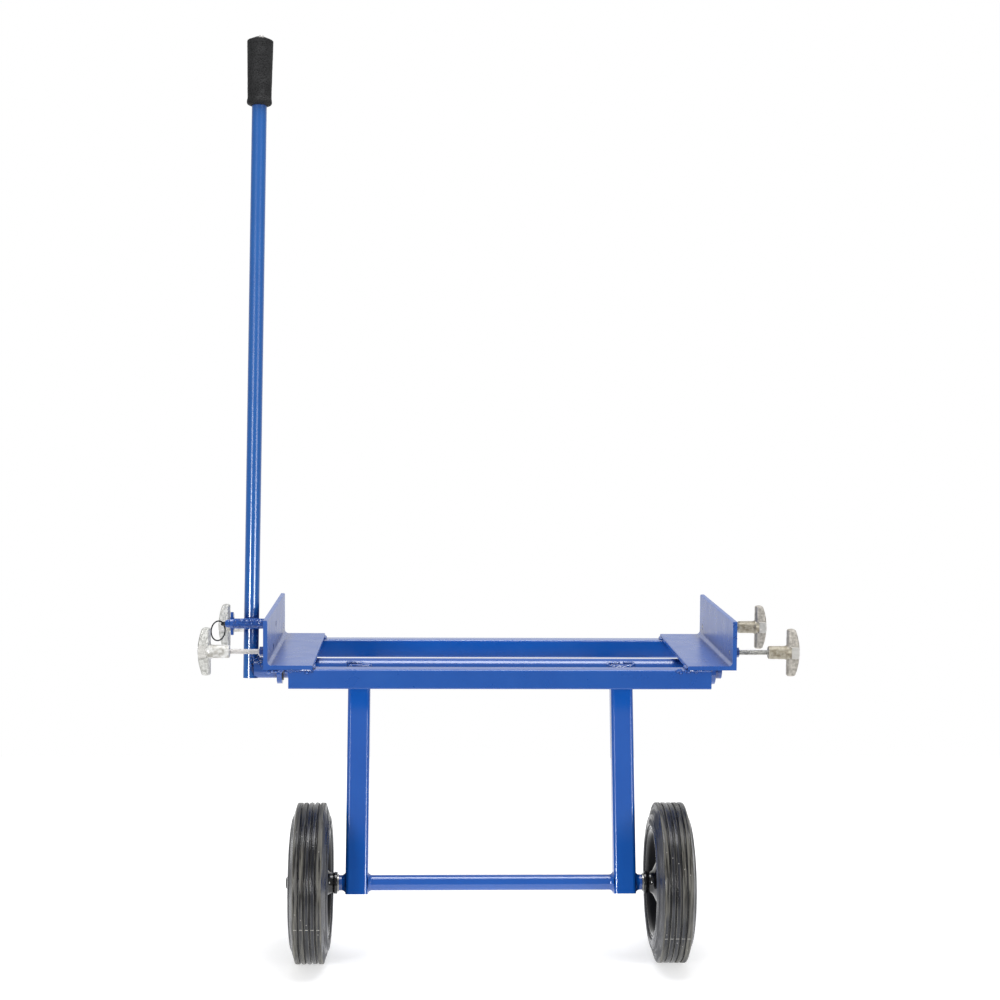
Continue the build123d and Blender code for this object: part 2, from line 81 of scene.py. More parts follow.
# Handle tube and foam grip, measured along the handle from the shaft's axis
shaft_radius = 0.016
handle_x = -0.39195
handle_radius = 0.012
handle_lean = radians(7.0)
handle_tilt = radians(0.3)
grip_bottom = 0.9092
grip_sag = 0.0034
grip_top = 1.019
grip_bore = 0.0121
grip_bore_end = 1.0101
grip_bore_round = 0.0008
grip_mouth_round = 0.0012
grip_radius_low = 0.01925
grip_radius_high = 0.0211
grip_foot_round = 0.0024
grip_lip_radius = 0.02025
grip_lip_height = 0.005
grip_lip_slope = 0.004
grip_lip_low_round = 0.0028
grip_lip_high_round = 0.0022
grip_shoulder = 0.001
grip_dome = 0.0064
grip_crown = 0.0077
grip_spacing = 0.0018
grip_steps = 72
grip_pore = 0.0045
grip_dent = 0.00022
tip_radius = 0.0045
tip_drop = 0.0013
tip_place = (0.0026, -0.0125)
tip_foot_round = 0.0004
tip_edge_round = 0.0006
tip_steps = 32

# Tyres
wheel_radius = 0.1235
tread_half = 0.0215
tread_round = 0.0016
side_half = 0.031
side_radius = 0.093
side_round = 0.003
bead_half = 0.0295
bead_round = 0.0008
rim_radius = 0.088
groove_count = 4
groove_pitch = 0.0086
groove_width = 0.003
groove_floor = 0.0018
groove_depth = 0.003
groove_round = 0.0007
rib_round = 0.0009
side_ring = ((0.66, 0.0), (0.68, 0.0007), (0.76, 0.0007), (0.78, 0.0))
side_ring_round = 0.0004
tyre_steps = 144
seam_turns = (0.0, pi)
seam_share = 0.8
seam_width = 0.0007
seam_rise = 0.00035
wheel_turns = {"left": radians(161), "right": radians(28)}
nub_count = 6
nub_turn = radians(4.0)
nub_step = radians(4.0)
nub_radius = 0.0008

# Rims
rim_half = 0.028
rim_edge_half = 0.023
rim_edge_radius = 0.075
rim_dish_radius = 0.066
rim_dish_round = 0.003
rim_web_half = 0.005
rim_lip_radius = 0.08
rim_lip_round = 0.0012
rim_ring = (0.0812, 0.0845)
rim_ring_depth = 0.0014
rim_ring_round = 0.0006
rim_seat_round = 0.0007
hub_radius = 0.017
hub_round = 0.0012
hub_bore_round = 0.0006
hub_collar = 0.0052
hub_collar_round = 0.0005
hub_neck_radius = 0.0158
hub_neck_round = 0.0004
hub_end = 0.014
hub_cone = 0.0078
hub_cone_radius = 0.033
hub_cone_round = 0.0055
hub_cone_edge_round = 0.0008
hub_inner_reach = 0.0411
hub_outer_reach = 0.032
bearing_radius = 0.012
rim_steps = 120

# Clamp screws
thread_pitch = 0.00125
thread_depth = 0.0007
thread_chamfer = 0.0012
thread_flank = 2.4
thread_rings = 8
thread_steps = 28
rod_radius = 0.004
tee_bar_length = 0.073
tee_end_width = 0.012
tee_bow = 0.007
tee_thickness = 0.015
tee_end_thickness = 0.0135
tee_inner_edge = 0.0028
tee_outer_edge = 0.0019
tee_end_round = 0.003
tee_hub_length = 0.029
tee_hub_radius = 0.0103
tee_hub_draft = 0.0004
tee_hub_root = 0.0013
tee_hub_round = 0.0018
tee_hub_seat_round = 0.0006
tee_hub_steps = 48
tee_bore = 0.00405
tee_bore_depth = 0.0203
tee_bore_round = 0.0004
tee_mouth_round = 0.0006
tee_boss_length = 0.018
tee_boss_width = 0.0125
tee_boss_inset = 0.001
tee_boss_rise = 0.0015
tee_stations = 72
tee_voxel = 0.0004
tee_softening = 2
tee_pore = 0.0035
tee_dent = 0.00016

# Latch spring
spring_turns = 9
spring_turn_steps = 24
spring_wire = 0.0007
spring_sides = 8

# Weld beads, where a name that ends in bead is a bead's radius
bead_spacing = 0.0007
bead_sides = 10
bead_ripple = 0.0021
bead_least = 0.9
bead_swell = 0.13
bead_wander = 0.1
bead_wander_scale = 160
bead_end_least = 0.02
ring_sweep = 1.05 * tau
rail_bead = 0.0026
rail_sink = 0.3 * rail_bead
rail_end_sink = 0.2 * rail_bead
tip_bead = 0.0029
tip_sink = 0.2 * tip_bead
tip_rise = 0.35 * tip_bead
lug_bead = 0.0024
nut_bead = 0.0013
nut_bead_ring = 0.0074
handle_bead = 0.0027
leg_bead = 0.0034
leg_bead_lines = ((0.0168, -0.0045), (0.016, 0.0016))
leg_bead_overhang = 0.001
leg_ring_gap = 0.0008
leg_ring_start = radians(20)
leg_ring_sweep = radians(140)
smear_bead = 0.003
smear_sink = 0.0008
smear_overhang = 0.003
smears = {
    "left": ((0.0, 24), (0.2, 30), (0.45, 27), (0.75, 12), (1.0, 10)),
    "right": ((0.45, 26), (0.0, 28), (-0.04, 16), (0.05, 6), (0.9, 6), (0.98, 16), (0.9, 27), (0.55, 29)),
}
latch_bead = 0.003
latch_bead_gap = 0.35 * latch_bead
latch_bead_half = 0.85 * handle_radius
latch_bead_share = 0.72
latch_bead_steps = 8
flange_bead = 0.0014
flange_bead_gap = 0.3 * flange_bead
fillet_width = 0.0062
fillet_height = 0.004
fillet_hollow = 2.2
fillet_wander = 0.18
fillet_wander_scale = 140
fillet_ripple = 0.04
fillet_ripples = 23
fillet_steps = 96
fillet_points = 8
weld_root = 0.0004

# Lumps of weld, spatter, drips and runs of paint
cope_turn = radians(60)
cope_steps = 12
cope_seed = 5
cope_lump_radius = (0.0012, 0.0026)
tube_lumps = 34
tube_lump_turn = (0.0, radians(85))
tube_lump_height = (-0.004, 0.02)
shaft_lumps = 22
shaft_lump_turn = (radians(-20), radians(80))
shaft_lump_reach = (0.012, 0.022)
spatter_seed = 7
spatter_count = 170
spatter_turn = (radians(-50), radians(65))
spatter_x = (-0.418, -0.361)
spatter_radius = (0.0005, 0.0013)
drip_count = 56
drip_turn = (radians(-65), radians(65))
drip_reach = 0.028
lump_seed = 11
lump_runs = ((-0.349, -0.281, 26), (0.264, 0.3, 18))
lump_drop = (0.0, 0.0045)
lump_radius = (0.0012, 0.003)
run_count = 9
run_width = 0.006
run_drop = (0.001, 0.026)
run_radius = (0.0007, 0.0014)

# Colours: single tints, and pairs that a field mixes
paint_blue = ((0.0016, 0.073, 0.372), (0.003, 0.093, 0.42))
# Lighter, cyaner blue for the handle tube: painted sheen for its broad soft highlights
tube_blue_with_sheen = ((0.002, 0.094, 0.385), (0.004, 0.118, 0.432))
chip_blue = (0.1, 0.17, 0.36)
# Darker blue painted into creases and corners as painted shade
crease_shade_blue = (0.001, 0.02, 0.15)
zinc_plate = ((0.43, 0.43, 0.42), (0.62, 0.61, 0.56))
zinc_stain = (0.2, 0.19, 0.17)
# Paler plate and castings for the left clamps, partly painted light for the stronger light on the left; the handle
# tip shares the paler plate
bright_plate = ((0.66, 0.64, 0.62), (0.84, 0.82, 0.8))
bright_stain = (0.42, 0.4, 0.37)
left_bar = ((0.46, 0.46, 0.435), (0.74, 0.74, 0.71))
left_hub = ((0.4, 0.385, 0.345), (0.84, 0.84, 0.82))
right_bar = ((0.4, 0.375, 0.33), (0.66, 0.625, 0.57))
right_hub = ((0.25, 0.215, 0.155), (0.52, 0.485, 0.395))
boss_plating = (0.64, 0.63, 0.6)
# Painted shade on the castings' edges and in their corners
edge_shade = (0.36, 0.34, 0.3)
corner_shade = (0.12, 0.105, 0.085)
# Dark rubber of the side walls, also painted into the grooves as painted shade
wall_rubber_and_groove_shade = ((0.005, 0.006, 0.01), (0.03, 0.031, 0.036))
clean_rubber = ((0.003, 0.004, 0.008), (0.026, 0.028, 0.036))
dusty_rubber = ((0.03, 0.029, 0.025), (0.125, 0.12, 0.102))
rib_edge_rubber = ((0.04, 0.038, 0.031), (0.17, 0.163, 0.138))
seam_grey = ((0.26, 0.25, 0.23), (0.5, 0.49, 0.46))
rim_black = ((0.004, 0.004, 0.005), (0.02, 0.02, 0.02))
foam_grey = ((0.016, 0.0165, 0.0175), (0.026, 0.0265, 0.028))
# Painted shade in the foam's pores
pore_shade = (0.004, 0.004, 0.0045)
brass_yellow = ((0.42, 0.29, 0.12), (0.58, 0.43, 0.2))
latch_steel = (0.022, 0.023, 0.024)
coil_steel = (0.05, 0.05, 0.052)
steel_worn = 1.5
steel_rubbed = 2.4

# Ranges over which a field grows from 0 to 1
cloud_range = (0.3, 0.7)
chip_range = (0.6, 0.66)
dirt_range = (0.55, 0.75)
stain_range = (0.35, 0.65)
streak_range = (0.42, 0.6)
dusty_range = (0.34, 0.56)
dust_range = (0.55, 0.8)
rubbed_range = (0.35, 0.7)
pore_range = (0.1, 0.6)
crease_range = (0.9, 0.5)
edge_range = (0.98, 0.8)
crease_samples = 8
edge_samples = 4

# Where the looks of the tube, legs, T-handles, tyres and rims change
dull_top_heights = (0.64, 1.0)
# Painted shade: the legs' flat faces shine less towards their lower ends
shaded_end_heights = (0.226, 0.184)
shaded_end_faces = (0.3, 0.1)
shaded_end_shine = 0.35
tee_hub_start = (0.003, -0.002)
tee_raised = (0.0078, 0.0085)
tee_root_start = (0.0066, 0.006)
tee_boss_start = (0.0062, 0.007)
tread_top = (wheel_radius - groove_depth * 0.7, wheel_radius - groove_depth * 0.1)
bare_band = (groove_pitch * 0.6, groove_pitch * 1.1)
rib_edge = (groove_pitch * 0.24, groove_pitch * 0.32)
cone_foot = (hub_cone_radius, hub_cone_radius * 1.15)
rim_lip = (rim_lip_radius, rim_edge_radius)
rim_roughness = (0.12, 0.46)
rim_shine = (0.7, 0.1)

# Floor, and surroundings that are lighter behind
floor_side = 1.3
floor_front = -0.53
floor_back = 1.47
white = (1.0, 1.0, 1.0, 1.0)
floor_look = {
    "Base Color": (0.78, 0.78, 0.78, 1.0),
    "Roughness": 0.9,
    "Emission Color": white,
    "Emission Strength": 0.55,
}
back_start = (0.2, 0.9)
front_light = 0.33
back_light = 0.91

# Soft lights: place, target, size and power
saddle_middle = (0, 0.07, 0.5)
lights = {
    "left_light": ((-2.45, -3.93, 0.92), saddle_middle, (0.8, 0.65), 78.0),
    "left_fill": ((-2.45, -3.93, 1.75), saddle_middle, (0.8, 0.95), 9.0),
    "right_light": ((2.7, -3.23, 0.92), saddle_middle, (1.5, 0.65), 38.0),
    "right_fill": ((2.7, -3.23, 1.75), saddle_middle, (1.5, 0.95), 10.0),
    "top_light": ((0.1, -0.3, 3.45), (0.1, 0.02, 0.45), (1.6, 1.6), 60.0),
}

# Camera, with turns in radians and a focal length in sensor widths
camera_place = Vector((-0.1103, -2.98126, 0.9253))
camera_yaw = 0.0378
camera_pitch = 0.0694
camera_roll = 0.0077
camera_focal = 1.892463


# Shapes are pairs of points and faces

def join(*shapes):
    """Several shapes as one."""
    points, faces = [], []
    for more_points, more_faces in shapes:
        start = len(points)
        points += more_points
        faces += [[start + corner for corner in face] for face in more_faces]
    return points, faces


def soften(corners, steps=6):
    """Outline of (along, radius) through corners that each have their own rounding."""
    outline = []
    for index, (along, radius, rounding) in enumerate(corners):
        corner = Vector((along, radius))
        if not rounding:
            outline.append(corner)
            continue
        before = Vector(corners[index - 1][:2])
        after = Vector(corners[(index + 1) % len(corners)][:2])
        start = corner + (before - corner).normalized() * rounding
        end = corner + (after - corner).normalized() * rounding
        for step in range(steps + 1):
            share = step / steps
            outline.append(start.lerp(corner, share).lerp(corner.lerp(end, share), share))
    return outline


def mirrored(corners):
    """Corners of a section's other side, in the order that goes on round it."""
    return [(-along, radius, rounding) for along, radius, rounding in reversed(corners)]


def evenly(path, spacing):
    """A path of straight runs with more points, about equal steps apart."""
    spaced = []
    for start, end in zip(path, path[1:]):
        count = max(1, round((end - start).length / spacing))
        spaced += [start.lerp(end, index / count) for index in range(count)]
    return spaced + [path[-1]]


def skin(rings, closed=False):
    """Shape over rings of points, where a ring of one point closes an end."""
    points, faces, numbers = [], [], []
    size = max(len(ring) for ring in rings)
    for ring in rings:
        start = len(points)
        numbers.append([start + index % len(ring) for index in range(size)])
        points += ring
    following = numbers[1:] + numbers[:1] if closed else numbers[1:]
    for low, high in zip(numbers, following):
        for index in range(size):
            beside = (index + 1) % size
            corners = (low[index], low[beside], high[beside], high[index])
            faces.append(list(dict.fromkeys(corners)))
    return points, faces


def lathe(outline, steps, closed=False):
    """An outline of (along, radius) turned about the X axis."""
    rings = []
    for along, radius in outline:
        if radius:
            turns = [tau * index / steps for index in range(steps)]
            rings.append([Vector((along, radius * cos(turn), radius * sin(turn))) for turn in turns])
        else:
            rings.append([Vector((along, 0, 0))])
    return skin(rings, closed)


def tube(path, radii, sides_round):
    """Round tube with closed ends along a path, with a radius for each point."""
    rings = [[path[0]]]
    normal = (path[1] - path[0]).orthogonal().normalized()
    for index, (point, radius) in enumerate(zip(path, radii)):
        along = (path[min(index + 1, len(path) - 1)] - path[max(index - 1, 0)]).normalized()
        normal = (normal - along * normal.dot(along)).normalized()
        across = along.cross(normal)
        turns = [tau * step / sides_round for step in range(sides_round)]
        rings.append([point + (normal * cos(turn) + across * sin(turn)) * radius for turn in turns])
    return skin(rings + [[path[-1]]])


def bead(path, radius):
    """Rippled weld bead along a path, with rounded ends."""
    points = evenly([Vector(point) for point in path], bead_spacing)
    travel = [0.0]
    for start, end in zip(points, points[1:]):
        travel.append(travel[-1] + (end - start).length)
    radii = []
    for point, distance in zip(points, travel):
        ripple = bead_least + bead_swell * abs(sin(pi * distance / bead_ripple))
        wander = 1 + bead_wander * noise.noise(point * bead_wander_scale)
        nearest_end = min(distance, travel[-1] - distance, radius) / radius
        rounding = sqrt(max(bead_end_least, 1 - (1 - nearest_end) ** 2))
        radii.append(radius * ripple * wander * rounding)
    return tube(points, radii, bead_sides)


def ring_path(centre, radius, first, second, start=0.0, sweep=ring_sweep, steps=48):
    """Path round a centre, from one direction towards another."""
    turns = [start + sweep * index / steps for index in range(steps + 1)]
    return [centre + (first * cos(turn) + second * sin(turn)) * radius for turn in turns]


def ball(centre, radius, steps=8):
    """Small round lump."""
    turns = [pi * index / steps for index in range(steps + 1)]
    outline = [(-radius * cos(turn), radius * sin(turn)) for turn in turns]
    outline[0], outline[-1] = (-radius, 0), (radius, 0)
    points, faces = lathe(outline, steps)
    return [centre + point for point in points], faces


def outward(turn):
    """Direction away from an X axis, turned up from the front."""
    return Vector((0, -cos(turn), sin(turn)))


def add_object(name, data):
    """New object in the scene."""
    added = bpy.data.objects.new(name, data)
    scene.collection.objects.link(added)
    return added


def build_mesh(name, shape, crease=32.0):
    """Mesh with outward faces, smooth apart from edges sharper than so many degrees."""
    mesh = bpy.data.meshes.new(name)
    mesh.from_pydata(shape[0], [], shape[1])
    work = bmesh.new()
    work.from_mesh(mesh)
    bmesh.ops.recalc_face_normals(work, faces=work.faces)
    work.to_mesh(mesh)
    work.free()
    mesh.shade_smooth()
    mesh.set_sharp_from_angle(angle=radians(crease))
    return mesh


def fuse(mesh, voxel, softening):
    """One skin round the overlapping shells of a mesh, with its edges softened."""
    shell = add_object(mesh.name, mesh)
    remesh = shell.modifiers.new("fuse", "REMESH")
    remesh.mode = "VOXEL"
    remesh.voxel_size = voxel
    smooth = shell.modifiers.new("soften", "SMOOTH")
    smooth.iterations = softening
    depsgraph = bpy.context.evaluated_depsgraph_get()
    fused = bpy.data.meshes.new_from_object(shell.evaluated_get(depsgraph))
    bpy.data.objects.remove(shell)
    fused.shade_smooth()
    return fused


def roughen(mesh, size, height):
    """Uneven skin: each vertex moves along its normal by smooth noise."""
    moved = [
        vertex.co + vertex.normal * height * noise.noise(vertex.co / size)
        for vertex in mesh.vertices
    ]
    for vertex, place in zip(mesh.vertices, moved):
        vertex.co = place


# Materials

def add_node(tree, kind, inputs, **settings):
    """New shader node with its settings made and its inputs set or linked."""
    node = tree.nodes.new(f"ShaderNode{kind}")
    for name, setting in settings.items():
        setattr(node, name, setting)
    for socket, value in inputs.items():
        if isinstance(value, bpy.types.NodeSocket):
            tree.links.new(value, node.inputs[socket])
        else:
            node.inputs[socket].default_value = value
    return node


def map_field(tree, field, source, target):
    """A field's range mapped onto another, and held inside it."""
    sockets = ("Value", "From Min", "From Max", "To Min", "To Max")
    values = dict(zip(sockets, (field, *source, *target)))
    return add_node(tree, "MapRange", values).outputs["Result"]


class Surface:
    """A material with one main shader and short ways to add the nodes that feed it."""

    def __init__(self, name, metallic=0.0, specular=0.5):
        self.material = bpy.data.materials.new(name)
        self.material.use_nodes = True
        self.tree = self.material.node_tree
        self.shader = self.tree.nodes["Principled BSDF"]
        self.shader.inputs["Metallic"].default_value = metallic
        self.shader.inputs["Specular IOR Level"].default_value = specular
        self.place = self.node("TexCoord", {}).outputs["Object"]
        self.face = self.node("NewGeometry", {}).outputs["Normal"]
        self.normal = None

    def node(self, kind, inputs, **settings):
        return add_node(self.tree, kind, inputs, **settings)

    def math(self, operation, *fields):
        return self.node("Math", dict(enumerate(fields)), operation=operation).outputs["Value"]

    def vector_math(self, operation, *vectors):
        return self.node("VectorMath", dict(enumerate(vectors)), operation=operation).outputs

    def feed(self, source, socket):
        self.tree.links.new(source, self.shader.inputs[socket])

    def noise(self, size, detail=3.0, stretch=(1, 1, 1)):
        """Cloudy field from 0 to 1 with features of about a size."""
        place = self.node("Mapping", {"Vector": self.place, "Scale": stretch}).outputs["Vector"]
        return self.node("TexNoise", {"Vector": place, "Scale": 1 / size, "Detail": detail}).outputs["Fac"]

    def cells(self, size):
        """Field that is low in the middle of each small cell."""
        return self.node("TexVoronoi", {"Vector": self.place, "Scale": 1 / size}).outputs["Distance"]

    def spread(self, field, source=(0.0, 1.0), target=(0.0, 1.0)):
        return map_field(self.tree, field, source, target)

    def times(self, first, second):
        return self.math("MULTIPLY", first, second)

    def mix(self, share, first, second):
        """Colour between two, each a colour or the output of another mix."""
        start, end = [(*colour, 1.0) if isinstance(colour, tuple) else colour for colour in (first, second)]
        return self.node("Mix", {0: share, 6: start, 7: end}, data_type="RGBA").outputs[2]

    def distance_from_axle(self):
        """Distance from the piece's own X axis."""
        flat = self.vector_math("MULTIPLY", self.place, (0, 1, 1))["Vector"]
        return self.vector_math("LENGTH", flat)["Value"]

    def coordinate(self, axis, vector=None):
        """X, Y or Z of the piece's own place, or of another vector."""
        return self.node("SeparateXYZ", {"Vector": vector or self.place}).outputs[axis]

    def apart(self, field, middle=0.0):
        """How far a field is from a middle value."""
        return self.math("ABSOLUTE", self.math("SUBTRACT", field, middle))

    def sideways(self):
        """Field that is 1 on faces to the side and 0 on the others."""
        return self.apart(self.coordinate("X", self.face))

    def from_rib_middle(self, pitch):
        """Distance from the nearest middle of evenly spaced ribs along X."""
        return self.math("PINGPONG", self.coordinate("X"), pitch / 2)

    def crease_shade(self, reach):
        """Field for painted shade: 1 in tight corners and 0 in the open."""
        shade = self.node("AmbientOcclusion", {"Distance": reach}, samples=crease_samples)
        return self.spread(shade.outputs["AO"], crease_range)

    def edges(self, width):
        """Field that is 1 on sharp edges and 0 on flat faces."""
        rounded = self.node("Bevel", {"Radius": width}, samples=edge_samples).outputs["Normal"]
        return self.spread(self.vector_math("DOT_PRODUCT", rounded, self.face)["Value"], edge_range)

    def cloudy_roughness(self, size, roughness):
        """Roughness that wanders between two values."""
        self.feed(self.spread(self.noise(size), cloud_range, roughness), "Roughness")

    def bump(self, height, depth):
        """Relief of a field, added to any relief before it."""
        relief = {"Height": height, "Distance": depth}
        if self.normal:
            relief["Normal"] = self.normal
        self.normal = self.node("Bump", relief).outputs["Normal"]
        self.feed(self.normal, "Normal")


def blue_paint(
    name, blue=paint_blue, gloss=(0.12, 0.18), shine=1.0, peel=0.00004, roll_marks=0.0, lumps=0.0,
    crease_reach=0.03, shaded_ends=False, dull_top=False
):
    """Gloss blue paint with orange peel, faint shade changes, small chips on its edges and painted shade in its
    creases; where asked, painted shade as less shine on the flat faces towards the lower ends.
    """
    look = Surface(name, specular=shine)
    shade = look.mix(look.noise(size=0.06), *blue)
    chips = look.spread(look.noise(size=0.005, detail=5.0), chip_range)
    worn = look.times(look.edges(width=0.0011), chips)
    shade = look.mix(worn, shade, chip_blue)
    # Painted shade: darker blue in creases and corners, where little light reaches
    shade = look.mix(look.crease_shade(crease_reach), shade, crease_shade_blue)
    look.feed(shade, "Base Color")
    if dull_top:
        look.feed(look.spread(look.coordinate("Z"), dull_top_heights, gloss), "Roughness")
    else:
        look.cloudy_roughness(size=0.03, roughness=gloss)
    look.bump(look.noise(size=0.0022, detail=1.0), peel)
    if roll_marks:
        look.bump(look.noise(size=0.003, detail=2.0, stretch=(1, 0.02, 1)), roll_marks)
    if lumps:
        look.bump(look.noise(size=0.004, detail=2.0), lumps)
    # Painted shade: less shine on flat faces towards the lower ends
    if shaded_ends:
        low = look.spread(look.coordinate("Z"), shaded_end_heights)
        deep = look.times(low, look.spread(look.sideways(), shaded_end_faces))
        look.feed(look.spread(deep, target=(shine, shaded_end_shine)), "Specular IOR Level")
    return look.material


def zinc_steel(name, plate, stain, metallic=1.0):
    """Zinc plate with a cloudy tint, stains and fine scratches."""
    look = Surface(name, metallic=metallic)
    tint = look.mix(look.noise(size=0.012), *plate)
    dirt = look.spread(look.noise(size=0.004, detail=5.0), dirt_range)
    look.feed(look.mix(dirt, tint, stain), "Base Color")
    look.cloudy_roughness(size=0.006, roughness=(0.24, 0.42))
    look.bump(look.noise(size=0.0012, stretch=(0.15, 1, 1)), depth=0.00003)
    return look.material


def cast_metal(name, bar, hub, shine):
    """Plated casting: a bar and a stained hub, with painted shade along the edges and in the corners."""
    look = Surface(name)
    along, across = look.coordinate("X"), look.coordinate("Y")
    on_hub = look.spread(along, tee_hub_start)
    raised = look.spread(look.apart(across), tee_raised)
    on_root = look.times(raised, look.spread(along, tee_root_start))
    on_boss = look.times(raised, look.spread(along, tee_boss_start))
    stains = look.mix(look.spread(look.noise(size=0.008, detail=6.0), stain_range), *hub)
    plating = look.mix(look.spread(look.noise(size=0.004, detail=5.0), stain_range), *bar)
    plating = look.mix(on_hub, plating, stains)
    plating = look.mix(on_root, plating, stains)
    plating = look.mix(on_boss, plating, boss_plating)
    # Painted shade: darker along the edges and chamfers, and darker still in tight corners
    plating = look.mix(look.edges(width=0.0008), plating, edge_shade)
    plating = look.mix(look.crease_shade(reach=0.004), plating, corner_shade)
    look.feed(plating, "Base Color")
    look.feed(look.spread(on_hub, target=shine), "Metallic")
    look.cloudy_roughness(size=0.004, roughness=(0.3, 0.46))
    look.bump(look.noise(size=0.0018, detail=4.0), depth=0.0004)
    return look.material


def tyre_rubber(name):
    """Rubber with streaks round the wheel, dusty rib edges, dark side walls, and grooves darkened as painted
    shade.
    """
    look = Surface(name, specular=0.6)
    on_top = look.spread(look.distance_from_axle(), tread_top)
    on_edge = look.spread(look.from_rib_middle(groove_pitch), rib_edge)
    off_band = look.spread(look.apart(look.coordinate("X"), -groove_pitch / 2), bare_band)
    streak_field = look.noise(size=0.0024, detail=5.0, stretch=(1, 0.05, 0.05))
    streaks = look.spread(streak_field, streak_range)
    dust_field = look.noise(size=0.01, detail=2.0, stretch=(1, 0.1, 0.1))
    dust = look.times(look.spread(dust_field, dusty_range), off_band)
    tread = look.mix(dust, look.mix(streaks, *clean_rubber), look.mix(streaks, *dusty_rubber))
    tread = look.mix(on_edge, tread, look.mix(streaks, *rib_edge_rubber))
    # Below the tread's top: the side walls' darker rubber, and painted shade in the grooves
    look.feed(look.mix(on_top, look.mix(streaks, *wall_rubber_and_groove_shade), tread), "Base Color")
    look.feed(look.spread(look.times(streaks, off_band), target=(0.2, 0.6)), "Roughness")
    look.bump(look.noise(size=0.0012, detail=4.0), depth=0.0002)
    look.bump(streaks, depth=0.00015)
    return look.material


def pale_rubber(name):
    """Rubber flash along mould seams and on vent nubs, pale grey."""
    look = Surface(name, specular=0.3)
    look.feed(look.mix(look.noise(size=0.003), *seam_grey), "Base Color")
    look.cloudy_roughness(size=0.002, roughness=(0.5, 0.7))
    look.bump(look.noise(size=0.0008), depth=0.00005)
    return look.material


def black_plastic(name):
    """Gloss black moulding, duller in the dish, with faint flow marks and dust."""
    look = Surface(name)
    dust = look.spread(look.noise(size=0.008, detail=6.0), dust_range)
    look.feed(look.mix(dust, *rim_black), "Base Color")
    out = look.distance_from_axle()
    in_dish = look.times(look.spread(out, cone_foot), look.spread(out, rim_lip))
    look.feed(look.spread(in_dish, target=rim_roughness), "Roughness")
    look.feed(look.spread(in_dish, target=rim_shine), "Specular IOR Level")
    look.bump(look.noise(size=0.012, detail=2.0), depth=0.00006)
    return look.material


def foam(name):
    """Charcoal closed-cell foam with small pores, darkened as painted shade, and a rubbed sheen."""
    look = Surface(name, specular=0.3)
    rubbed = look.spread(look.noise(size=0.02, detail=4.0), rubbed_range)
    pores = look.spread(look.cells(size=0.003), pore_range)
    # Painted shade: the pores are darker than the foam round them
    look.feed(look.mix(pores, pore_shade, look.mix(rubbed, *foam_grey)), "Base Color")
    look.feed(look.spread(rubbed, target=(0.78, 0.6)), "Roughness")
    look.bump(pores, depth=0.0005)
    look.bump(look.noise(size=0.003), depth=0.0005)
    return look.material


def dark_steel(name, tint, metallic=0.6):
    """Blackened or oiled steel with rubbed edges."""
    look = Surface(name, metallic=metallic)
    worn, rubbed = [tuple(paler * part for part in tint) for paler in (steel_worn, steel_rubbed)]
    tone = look.mix(look.noise(size=0.006), tint, worn)
    look.feed(look.mix(look.edges(width=0.0006), tone, rubbed), "Base Color")
    look.cloudy_roughness(size=0.003, roughness=(0.28, 0.45))
    look.bump(look.noise(size=0.0011), depth=0.00003)
    return look.material


def brass(name):
    """Sintered brass with fine pores."""
    look = Surface(name, metallic=1.0)
    look.feed(look.mix(look.noise(size=0.004), *brass_yellow), "Base Color")
    look.cloudy_roughness(size=0.002, roughness=(0.3, 0.48))
    look.bump(look.cells(size=0.0006), depth=0.00004)
    return look.material


rolled = {"gloss": (0.26, 0.32), "peel": 0.000008, "roll_marks": 0.000008}
rolled_paint = blue_paint("blue_paint_rolled", **rolled)
rail_paint = blue_paint("blue_paint_rail", shine=0.8, **rolled)
# Legs with painted shade at their lower ends
leg_paint = blue_paint("blue_paint_legs", shine=1.15, shaded_ends=True)
# Handle tube in the lighter blue, a painted sheen
tube_paint = blue_paint("blue_paint_tube", blue=tube_blue_with_sheen, gloss=(0.13, 0.3), dull_top=True)
satin_paint = blue_paint("blue_paint_satin", gloss=(0.2, 0.25), peel=0.00001)
bead_paint = blue_paint("blue_paint_beads", gloss=(0.1, 0.14), crease_reach=0.006)
lumpy_paint = blue_paint("blue_paint_lumpy", gloss=(0.08, 0.12), lumps=0.0008)
# Paler zinc and casting for the left clamps, partly painted light for the stronger light on the left
bright_zinc = zinc_steel("zinc_steel_bright", bright_plate, bright_stain, metallic=0.5)
pale_casting = cast_metal("cast_iron_pale", left_bar, left_hub, shine=(0.3, 0.2))
seam_rubber = pale_rubber("seam_rubber")

# Usual material of each slot, and solids that have another
slot_materials = {
    "blue_paint": blue_paint("blue_paint"),
    "zinc_steel": zinc_steel("zinc_steel", zinc_plate, zinc_stain),
    "cast_iron": cast_metal("cast_iron", right_bar, right_hub, shine=(0.55, 0.25)),
    "tyre_rubber": tyre_rubber("tyre_rubber"),
    "black_plastic": black_plastic("black_plastic"),
    "bearing_brass": brass("bearing_brass"),
    "foam": foam("foam"),
    "spring_steel": dark_steel("spring_steel", coil_steel, metallic=1.0),
    "dark_steel": dark_steel("dark_steel", latch_steel),
}
special_materials = {
    "left_side_angle": rolled_paint,
    "right_side_angle": rolled_paint,
    "front_rail": rail_paint,
    "handle_tube": tube_paint,
    "left_leg": leg_paint,
    "right_leg": leg_paint,
    "pivot_shaft": satin_paint,
    "latch_barrel": lumpy_paint,
    "latch_knob": lumpy_paint,
}
for subpart in frame["record"]["subparts"]:
    usual = slot_materials[subpart["material_slot"]]
    node = frame["nodes"][subpart["node"]]
    node.data.materials.clear()
    node.data.materials.append(special_materials.get(subpart["node"], usual))

